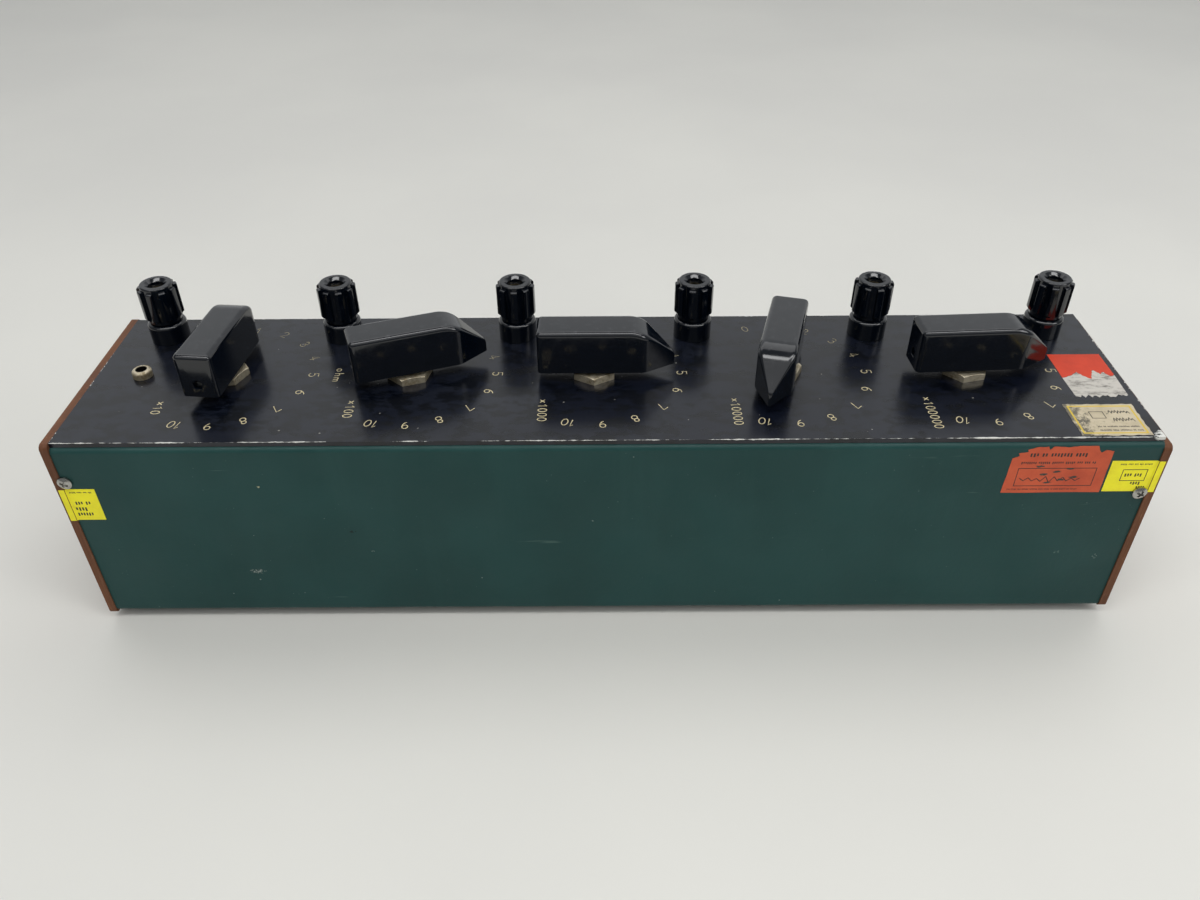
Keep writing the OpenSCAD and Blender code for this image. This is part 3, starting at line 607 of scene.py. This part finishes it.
def knob_section(half, top, edge):
    """Points of a cross section from the left foot over the rounded top edges to the right foot."""
    steps = [math.radians(90 * k / 6) for k in range(7)]
    right = [(half - edge + edge * math.cos(a), top - edge + edge * math.sin(a)) for a in steps]
    side = [(half, 0), (half, (top - edge) / 2)] + right + [(0, top)]
    return side + [(-across, up) for across, up in reversed(side[:-1])]


def knob_sections(rear, tip, half, height):
    """Distances along the bar with the cross section at each, closer together where the form curves."""
    sections = []
    for k in range(7):
        turn = math.radians(15 * k)
        inset = KNOB_EDGE * (1 - math.sin(turn))
        edge = max(KNOB_EDGE - inset, KNOB_LEAST_EDGE)
        along = KNOB_EDGE * (1 - math.cos(turn)) - rear
        sections.append((along, knob_section(half - inset, height - inset, edge)))
    nose_count = 36
    for k in range(nose_count + 1):
        along = KNOB_FLAT + (tip - KNOB_FLAT) * k / nose_count
        width = knob_half_width(along, tip, half)
        edge = min(KNOB_EDGE, NOSE_EDGE_SHARE * width)
        sections.append((along, knob_section(width, knob_top(along, tip, height), edge)))
    return sections


def knob_mesh(name):
    """The moulded bar as one closed skin, with the set screw's hole in its rear face."""
    rear, tip, half, height, _ = knob_shape()
    mesh = bmesh.new()
    rings = [[mesh.verts.new((along, across, up)) for across, up in points]
             for along, points in knob_sections(rear, tip, half, height)]
    level = SET_SCREW_LEVEL * height
    ways = [math.atan2(vert.co.z - level, vert.co.y) for vert in rings[0]]
    hole = ((0, SET_SCREW_RADIUS + SET_SCREW_CHAMFER), (SET_SCREW_CHAMFER, SET_SCREW_RADIUS),
            (SET_SCREW_DEPTH, SET_SCREW_RADIUS))
    for depth, radius in hole:
        circle = [(radius * math.cos(a), level + radius * math.sin(a)) for a in ways]
        rings.insert(0, [mesh.verts.new((depth - rear, across, up)) for across, up in circle])
    join_rings(mesh, rings)
    return finished_mesh(mesh, name)


def moulded_knobs(plastic):
    """A rounded moulding in place of each knob's plain solid."""
    for n in DIALS:
        data = knob_mesh(f"knob_moulding_{n}")
        data.materials.append(plastic)
        data.polygons.foreach_set("use_smooth", [True] * len(data.polygons))
        data.set_sharp_from_angle(angle=KNOB_SMOOTH_ANGLE)
        obj = bpy.data.objects.new(f"knob_moulding_{n}", data)
        even = obj.modifiers.new("flat_faces_flat", "WEIGHTED_NORMAL")
        even.keep_sharp = True
        turn = -sum(JOINTS[f"dial_{n}"]["range_deg"]) / 2 + KNOB_SKEW[n - 1]
        obj.location = (DIAL_X[n - 1], 0, knob_shape()[4])
        obj.rotation_euler = (0, 0, math.radians(turn))
        bpy.context.collection.objects.link(obj)
        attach(obj, f"rotor_{n}")
        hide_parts(f"knob_{n}")


# Engraved marks


def arc(x, y, radius, start, end, tall=1.0, count=10):
    """Points on an arc, from the start angle to the end angle in degrees."""
    angles = [math.radians(start + (end - start) * k / count) for k in range(count + 1)]
    return [(x + radius * math.cos(a), y + radius * tall * math.sin(a)) for a in angles]


def glyphs():
    """Single-stroke numerals and letters, as a machine engraves them, one unit high about the middle."""
    six = [arc(0.32, -0.2, 0.6, 112, 180, 1.17), arc(0, -0.22, 0.28, 0, 360)]
    nine = [[(-x, -y) for x, y in line] for line in six]
    return {
        "0": [arc(0, 0, 0.29, 90, 450, 1.72, 24)],
        "1": [[(-0.14, 0.26), (0.08, 0.5), (0.08, -0.5)]],
        "2": [arc(0, 0.22, 0.28, 165, -35) + [(-0.28, -0.5), (0.3, -0.5)]],
        "3": [arc(0, 0.25, 0.25, 150, -90), arc(0, -0.22, 0.28, 90, -150)],
        "4": [[(0.12, -0.5), (0.12, 0.5), (-0.3, -0.22), (0.3, -0.22)]],
        "5": [[(0.24, 0.5), (-0.2, 0.5), (-0.24, 0.05)] + arc(-0.02, -0.2, 0.3, 120, -145)],
        "6": six,
        "7": [[(-0.28, 0.5), (0.28, 0.5), (-0.08, -0.5)]],
        "8": [arc(0, 0.26, 0.23, 90, 450, 1.0, 16), arc(0, -0.23, 0.28, 90, 450, 1.0, 16)],
        "9": nine,
        "x": [[(-0.24, -0.3), (0.24, 0.18)], [(-0.24, 0.18), (0.24, -0.3)]],
        "o": [arc(0, -0.22, 0.27, 90, 450, 1.0, 16)],
        "h": [[(-0.24, 0.5), (-0.24, -0.5)], arc(0, -0.2, 0.24, 180, 0) + [(0.24, -0.5)]],
        "m": [[(-0.36, 0.05), (-0.36, -0.5)], arc(-0.18, -0.16, 0.18, 180, 0) + [(0, -0.5)],
              arc(0.18, -0.16, 0.18, 180, 0) + [(0.36, -0.5)]],
    }


def add_stroke(curve, points, half_width):
    """Adds one groove to the curve, its ends rounded by a shrinking radius unless it closes on itself."""
    closed = (Vector(points[0]) - Vector(points[-1])).length < SAME_POINT
    rows = [(Vector(p), 1.0) for p in (points[:-1] if closed else points)]
    if not closed:
        for end, inner in ((0, 1), (-1, -2)):
            tip = rows[end][0]
            away = (tip - rows[inner][0]).normalized()
            caps = [(tip + away * half_width * math.sin(a), math.cos(a)) for a in (0.6, 1.1, 1.5)]
            rows = list(reversed(caps)) + rows if end == 0 else rows + caps
    spline = curve.splines.new("POLY")
    spline.points.add(len(rows) - 1)
    for point, (place, radius) in zip(spline.points, rows):
        point.co = (place.x, place.y, 0, 1)
        point.radius = radius
    spline.use_cyclic_u = closed


def add_text(curve, text, middle, across, upward, height, advance, half_width):
    """Adds a row of glyphs centred on a point of the panel."""
    font = glyphs()
    for index, letter in enumerate(text):
        shift = (index - (len(text) - 1) / 2) * advance
        for line in font[letter]:
            points = [middle + across * (shift + x * height) + upward * (y * height) for x, y in line]
            add_stroke(curve, points, half_width)


def engraved_curve(name, stroke):
    """An empty curve whose lines are round rods as wide as the stroke."""
    curve = bpy.data.curves.new(name, "CURVE")
    curve.dimensions = "3D"
    curve.bevel_depth = stroke / 2
    curve.bevel_resolution = 2
    curve.use_fill_caps = True
    return curve


def dial_markings(paint):
    """Numerals round each dial, the multiplier beside it and the unit beside the second."""
    curve = engraved_curve("dial_markings", NUMERAL_STROKE)
    half = NUMERAL_STROKE / 2
    across, upward = Vector((0, -1)), Vector((1, 0))
    for n in DIALS:
        middle = Vector((DIAL_X[n - 1], 0))
        for number in range(POSITIONS):
            angle = (POSITIONS // 2 - number) * STEP
            outward = Vector((math.cos(angle), math.sin(angle)))
            clockwise = Vector((outward.y, -outward.x))
            spot = middle + outward * NUMERAL_CIRCLE
            add_text(curve, str(number), spot, clockwise, outward, NUMERAL_HEIGHT, NUMERAL_ADVANCE, half)
        multiplier = "x1" + "0" * n
        length = MULTIPLIER_ADVANCE * (len(multiplier) - 1)
        spot = middle + Vector((MULTIPLIER_X, MULTIPLIER_START - length / 2))
        add_text(curve, multiplier, spot, across, upward, MULTIPLIER_HEIGHT, MULTIPLIER_ADVANCE, half)
    unit = Vector((DIAL_X[1] + UNIT_X, 0))
    add_text(curve, "ohm", unit, across, upward, MULTIPLIER_HEIGHT, UNIT_ADVANCE, half)
    marks = bpy.data.objects.new("dial_markings", curve)
    marks.location = (0, 0, PANEL_TOP)
    marks.scale = (1, 1, INK_RISE / half)
    curve.materials.append(paint)
    bpy.context.collection.objects.link(marks)
    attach(marks, "box")


# Stickers


def new_piece(name, mesh_data, materials):
    """Puts a mesh on the box, with its materials."""
    obj = bpy.data.objects.new(name, mesh_data)
    for material in materials:
        mesh_data.materials.append(material)
    bpy.context.collection.objects.link(obj)
    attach(obj, "box")


def ragged(points, roughness, seed, pieces=14):
    """The outline with each side broken into short jagged lengths."""
    chance = random.Random(seed)
    result = []
    for start, end in zip(points, points[1:] + points[:1]):
        start, end = Vector(start), Vector(end)
        side = (end - start).normalized()
        normal = Vector((-side.y, side.x))
        for k in range(pieces):
            jag = 0 if k == 0 else chance.uniform(-roughness, roughness)
            result.append(start.lerp(end, k / pieces) + normal * jag)
    return result


def add_sheet(mesh, outline, place, thickness, slot):
    """Adds a thin closed sheet of the outline, standing on the surface that place maps it to."""
    low = [mesh.verts.new(place(p[0], p[1], 0)) for p in outline]
    high = [mesh.verts.new(place(p[0], p[1], thickness)) for p in outline]
    faces = [mesh.faces.new(high), mesh.faces.new(list(reversed(low)))]
    count = len(outline)
    for k in range(count):
        faces.append(mesh.faces.new((low[k], low[(k + 1) % count], high[(k + 1) % count], high[k])))
    for face in faces:
        face.material_index = slot


def rectangle(left, low, right, high):
    """The four corners of an upright rectangle."""
    return [(left, low), (right, low), (right, high), (left, high)]


def frame_bars(left, low, right, high, line):
    """The four bars of a printed box."""
    return [
        rectangle(left, low, right, low + line),
        rectangle(left, high - line, right, high),
        rectangle(left, low + line, left + line, high - line),
        rectangle(right - line, low + line, right, high - line),
    ]


def word_row(left, right, low, height, seed):
    """Short upright ticks in place of a row of print, grouped as words by chance."""
    chance = random.Random(seed)
    ticks = []
    start = left
    while start < right - height:
        for _ in range(chance.randint(2, 8)):
            tall = height * chance.uniform(0.65, 1)
            ticks.append(rectangle(start, low, start + TICK_WIDTH * height, low + tall))
            start += TICK_PITCH * height
        start += WORD_GAP * height
    return [tick for tick in ticks if tick[1][0] < right]


def scribble(left, low, width, height, pen, seed):
    """Short bars that together make a wavy pen line."""
    chance = random.Random(seed)
    count = 14
    line = []
    for k in range(count + 1):
        sway = height / 2 * chance.uniform(0.3, 1) * (1 if k % 2 else -1)
        line.append(Vector((left + width * k / count, low + height / 2 + sway)))
    bars = []
    for start, end in zip(line, line[1:]):
        way = (end - start).normalized()
        aside = Vector((-way.y, way.x)) * pen / 2
        bars.append([start - aside, end - aside, end + aside, start + aside])
    return bars


def rubbed_patch(x, y, length, width, seed):
    """Outline of a ragged patch rubbed off a label."""
    chance = random.Random(seed)
    count = 14
    reaches = [chance.uniform(0.45, 1) for _ in range(count)]
    angles = [2 * math.pi * k / count for k in range(count)]
    rim = zip(reaches, angles)
    return [(x + length / 2 * r * math.cos(a), y + width / 2 * r * math.sin(a)) for r, a in rim]


def sticker(name, outline, prints, place, materials):
    """A paper label; each print on it is (outline, material index), and a higher index lies higher."""
    mesh = bmesh.new()
    add_sheet(mesh, outline, place, PAPER, 0)
    for bar, ink in prints:
        add_sheet(mesh, bar, lambda x, y, lift: place(x, y, PAPER + lift * INK_SHARE * ink), PAPER, ink)
    new_piece(name, finished_mesh(mesh, name), materials)


def on_panel(x, y, lift):
    """A point above the panel's top."""
    return (x, y, PANEL_TOP + lift)


def on_front(x, drop, lift):
    """A point before the case's front, at a drop from the panel's top."""
    return (x, CASE_LOW[1] - lift, PANEL_TOP - drop)


def torn_sticker():
    """An orange label torn across, with its white paper left on the near side of the tear."""
    left, right, far, near = 183.8 * MM, 205.4 * MM, 12.0 * MM, -18.6 * MM
    orange = sticker_paper("orange_label", srgb(200, 64, 38), srgb(182, 56, 34))
    tear = [(183.8, -5.5), (187.4, -4.1), (191, -1.3), (193.2, -4.7), (195.3, -6.3), (196.5, -2.7),
            (198.2, 0), (199.9, -3), (201.8, -1.3), (203.7, -4.7), (205.4, -3.6)]
    corners = [(x * MM, y * MM) for x, y in tear]
    pieces = 4
    torn = ragged(corners, 0.35 * MM, 7, pieces)[:pieces * (len(tear) - 1) + 1]
    sticker("torn_label_orange", [(right, far), (left, far)] + torn, [], on_panel, [orange])
    gap, inset, jag, count = 0.15 * MM, 0.4 * MM, 1.1, 24
    outline = [(x, y - gap) for x, y in reversed(torn)]
    chance = random.Random(9)
    for k in range(count):
        across = left + inset + (right - left) * k / count
        outline.append((across, near + chance.uniform(-jag, jag) * MM))
    sticker("torn_label_paper", outline, [], on_panel, [torn_paper()])


def cream_sticker(ink):
    """A cream label with a yellow border, a printed box, rows of print, pen lines and a grimy left end."""
    left, right, near, far = 176.8 * MM, 203.4 * MM, -44.4 * MM, -24.2 * MM
    text_left, inset = left + 8 * MM, 1.1 * MM
    cream = sticker_paper("cream_label", srgb(200, 188, 162), srgb(176, 164, 138), (left, left + 11 * MM))
    border = printing_ink("label_border", srgb(206, 178, 56))
    ruled = frame_bars(left + inset, near + inset, right - inset, far - inset, 0.7 * MM)
    words = frame_bars(text_left, far - 9.5 * MM, left + 13.5 * MM, far - 5 * MM, FINE_LINE)
    for row in range(2):
        words += word_row(text_left, right - 2.5 * MM, near + (2.8 + 2.3 * row) * MM, 0.9 * MM, row)
        pen_low = near + (8.6 + 5 * row) * MM
        words += scribble(left + 15.5 * MM, pen_low, 8 * MM, 2.6 * MM, 0.32 * MM, 20 + row)
    prints = [(bar, 1) for bar in ruled] + [(bar, 2) for bar in words]
    outline = ragged(rectangle(left, near, right, far), 0.3 * MM, 3)
    sticker("cream_label", outline, prints, on_panel, [cream, border, ink])


def front_sticker(ink):
    """An orange-red label on the front with a chipped top edge, a printed box and rubbed patches."""
    paper = sticker_paper("red_label", srgb(206, 94, 62), srgb(186, 80, 54))
    bare = printing_ink("rubbed_label", srgb(52, 52, 46))
    left, right, low = 151.6 * MM, 189.4 * MM, 25.2 * MM
    top_edge = [(152.2, 8.6), (154.6, 7.4), (154.1, 6.2), (157.5, 5.6), (157.2, 4.6), (160.2, 3.4),
                (164.5, 3.1), (165.3, 4.8), (166.6, 3.1), (172, 3.5), (176, 2.9), (183, 2.9), (183.6, 4.4),
                (184.8, 6), (186.5, 4.9), (189.3, 5.4)]
    corners = [(x * MM, y * MM) for x, y in top_edge] + [(right, low), (left, low)]
    outline = ragged(corners, 0.12 * MM, 11, 4)
    words = frame_bars(left + 4 * MM, 13.2 * MM, right - 4 * MM, 22 * MM, FINE_LINE)
    words += word_row(left + 7 * MM, right - 9 * MM, 6.2 * MM, 1.9 * MM, 1)
    words += word_row(left + 4.5 * MM, right - 5 * MM, 10.2 * MM, 1.2 * MM, 2)
    words += word_row(left + 2 * MM, right - 9 * MM, 23.2 * MM, 0.7 * MM, 3)
    words += scribble(left + 5.5 * MM, 17.2 * MM, 23 * MM, 3.2 * MM, 0.35 * MM, 4)
    prints = [(bar, 1) for bar in words]
    for k in range(7):
        spot = (left + (12 + 2.3 * k) * MM, (12.4 + 1.3 * (k * 3 % 7)) * MM)
        prints.append((rubbed_patch(*spot, 4.4 * MM, 1.3 * MM, 40 + k), 2))
    sticker("red_label", outline, prints, on_front, [paper, ink, bare])


def wrapped_path(end, inner_x):
    """A seal's way in plan: along the front, over the proud cheek edge and back along the cheek's face."""
    cheek = (LEFT_LOW[0] if end < 0 else RIGHT_HIGH[0]) - end * SUNK * PAPER
    seam = CASE_LOW[0] if end < 0 else CASE_HIGH[0]
    proud = LEFT_LOW[1]
    return [
        (inner_x, CASE_LOW[1]),
        (seam - end * BEFORE_SEAM, CASE_LOW[1]),
        (seam + end * PAST_SEAM, proud),
        (cheek - end * SEAL_BEND, proud),
        (cheek, proud + SEAL_BEND),
        (cheek, proud + SEAL_REACH),
    ]


def seal_words(end, inner_x, top, rows):
    """Rows of ticks on a seal: each row is its two distances from the inner edge, its drop and its height."""
    bars = []
    for seed, (near, far, drop, height) in enumerate(rows, start=50):
        start, stop = sorted((inner_x + end * near * MM, inner_x + end * far * MM))
        bars += word_row(start, stop, top + drop * MM, height * MM, seed)
    return bars


def seal(name, end, inner_x, top, low, bars, materials):
    """A yellow strip stuck over the joint between the case and a cheek, with print on its front."""
    path = [Vector(p) for p in wrapped_path(end, inner_x)]
    mesh = bmesh.new()
    rings = []
    for k, point in enumerate(path):
        before = path[max(k - 1, 0)]
        after = path[min(k + 1, len(path) - 1)]
        way = (after - before).normalized()
        outer = point + Vector((way.y, -way.x)) * end * PAPER
        corners = ((point, low), (point, top), (outer, top), (outer, low))
        rings.append([mesh.verts.new((p.x, p.y, PANEL_TOP - drop)) for p, drop in corners])
    join_rings(mesh, rings)
    for bar in bars:
        add_sheet(mesh, bar, lambda x, y, lift: on_front(x, y, PAPER + lift * INK_SHARE), PAPER, 1)
    new_piece(name, finished_mesh(mesh, name), materials)


def stickers():
    """The labels on the panel and the front, and a seal at each end."""
    ink = printing_ink("label_ink", srgb(30, 28, 24))
    yellow = sticker_paper("yellow_seal", srgb(252, 243, 50), srgb(236, 224, 50))
    torn_sticker()
    cream_sticker(ink)
    front_sticker(ink)
    edge, top, low = -196.3 * MM, 20.9 * MM, 36.4 * MM
    words = seal_words(-1, edge, top, LEFT_SEAL_ROWS)
    seal("seal_left", -1, edge, top, low, words, [yellow, ink])
    edge, top, low = 190.2 * MM, 10.0 * MM, 24.8 * MM
    words = seal_words(1, edge, top, RIGHT_SEAL_ROWS)
    words += frame_bars(edge + 5.2 * MM, top + 4.1 * MM, edge + 14.7 * MM, top + 9.7 * MM, FINE_LINE)
    seal("seal_right", 1, edge, top, low, words, [yellow, ink])


# Stage


def floor():
    """A wide pale table top with faint grey marks."""
    s = Shader("pale_table", Specular_IOR_Level=0.3, Roughness=0.55)
    s.set(Base_Color=s.mix(s.ranged(s.noise(3, 5), 0.3, 0.7), srgb(212, 211, 206), srgb(219, 218, 212)))
    bpy.ops.mesh.primitive_plane_add(size=TABLE_SIZE)
    table = bpy.context.object
    table.name = "table"
    table.data.materials.append(s.material)


def world():
    """A soft room that is pale towards the rear and dimmer towards the front."""
    surroundings = bpy.data.worlds.new("surroundings")
    surroundings.use_nodes = True
    tree = surroundings.node_tree
    back = tree.nodes["Background"]
    way = tree.nodes.new("ShaderNodeTexCoord")
    axes = tree.nodes.new("ShaderNodeSeparateXYZ")
    rise = tree.nodes.new("ShaderNodeMapRange")
    rise.interpolation_type = "SMOOTHSTEP"
    rise.inputs["From Min"].default_value = RISE_START
    rise.inputs["From Max"].default_value = RISE_END
    rise.inputs["To Min"].default_value = ROOM_FRONT
    rise.inputs["To Max"].default_value = ROOM_REAR
    tree.links.new(way.outputs["Generated"], axes.inputs["Vector"])
    tree.links.new(axes.outputs["Y"], rise.inputs["Value"])
    tree.links.new(rise.outputs["Result"], back.inputs["Strength"])
    back.inputs["Color"].default_value = ROOM_TINT
    bpy.context.scene.world = surroundings


def lamp(name, place, width, depth, power):
    """A rectangular lamp that faces the object."""
    light = bpy.data.lights.new(name, "AREA")
    light.shape = "RECTANGLE"
    light.size = width
    light.size_y = depth
    light.energy = power
    obj = bpy.data.objects.new(name, light)
    obj.location = place
    obj.rotation_euler = (Vector((0, 0, PANEL_TOP)) - Vector(place)).to_track_quat("-Z", "Y").to_euler()
    bpy.context.collection.objects.link(obj)


def camera():
    """The photograph's point of view."""
    data = bpy.data.cameras.new("photo_view")
    data.sensor_fit = "HORIZONTAL"
    data.sensor_width = 36
    data.lens = data.sensor_width * FOCAL_PIXELS / IMAGE_WIDTH
    data.clip_start = 0.01
    obj = bpy.data.objects.new("photo_view", data)
    turn = (Matrix.Rotation(-CAMERA_YAW, 4, "Z") @ Matrix.Rotation(math.pi / 2 - CAMERA_PITCH, 4, "X")
            @ Matrix.Rotation(-CAMERA_ROLL, 4, "Z"))
    obj.matrix_world = Matrix.Translation((CAMERA_X, CAMERA_Y, PANEL_TOP + CAMERA_ABOVE_PANEL)) @ turn
    bpy.context.collection.objects.link(obj)
    bpy.context.scene.camera = obj


bpy.context.scene.view_settings.view_transform = "Standard"
camera()
world()
for row in LAMPS:
    lamp(*row)
floor()
dress_nodes()
dial_markings(engraving_paint())
stickers()
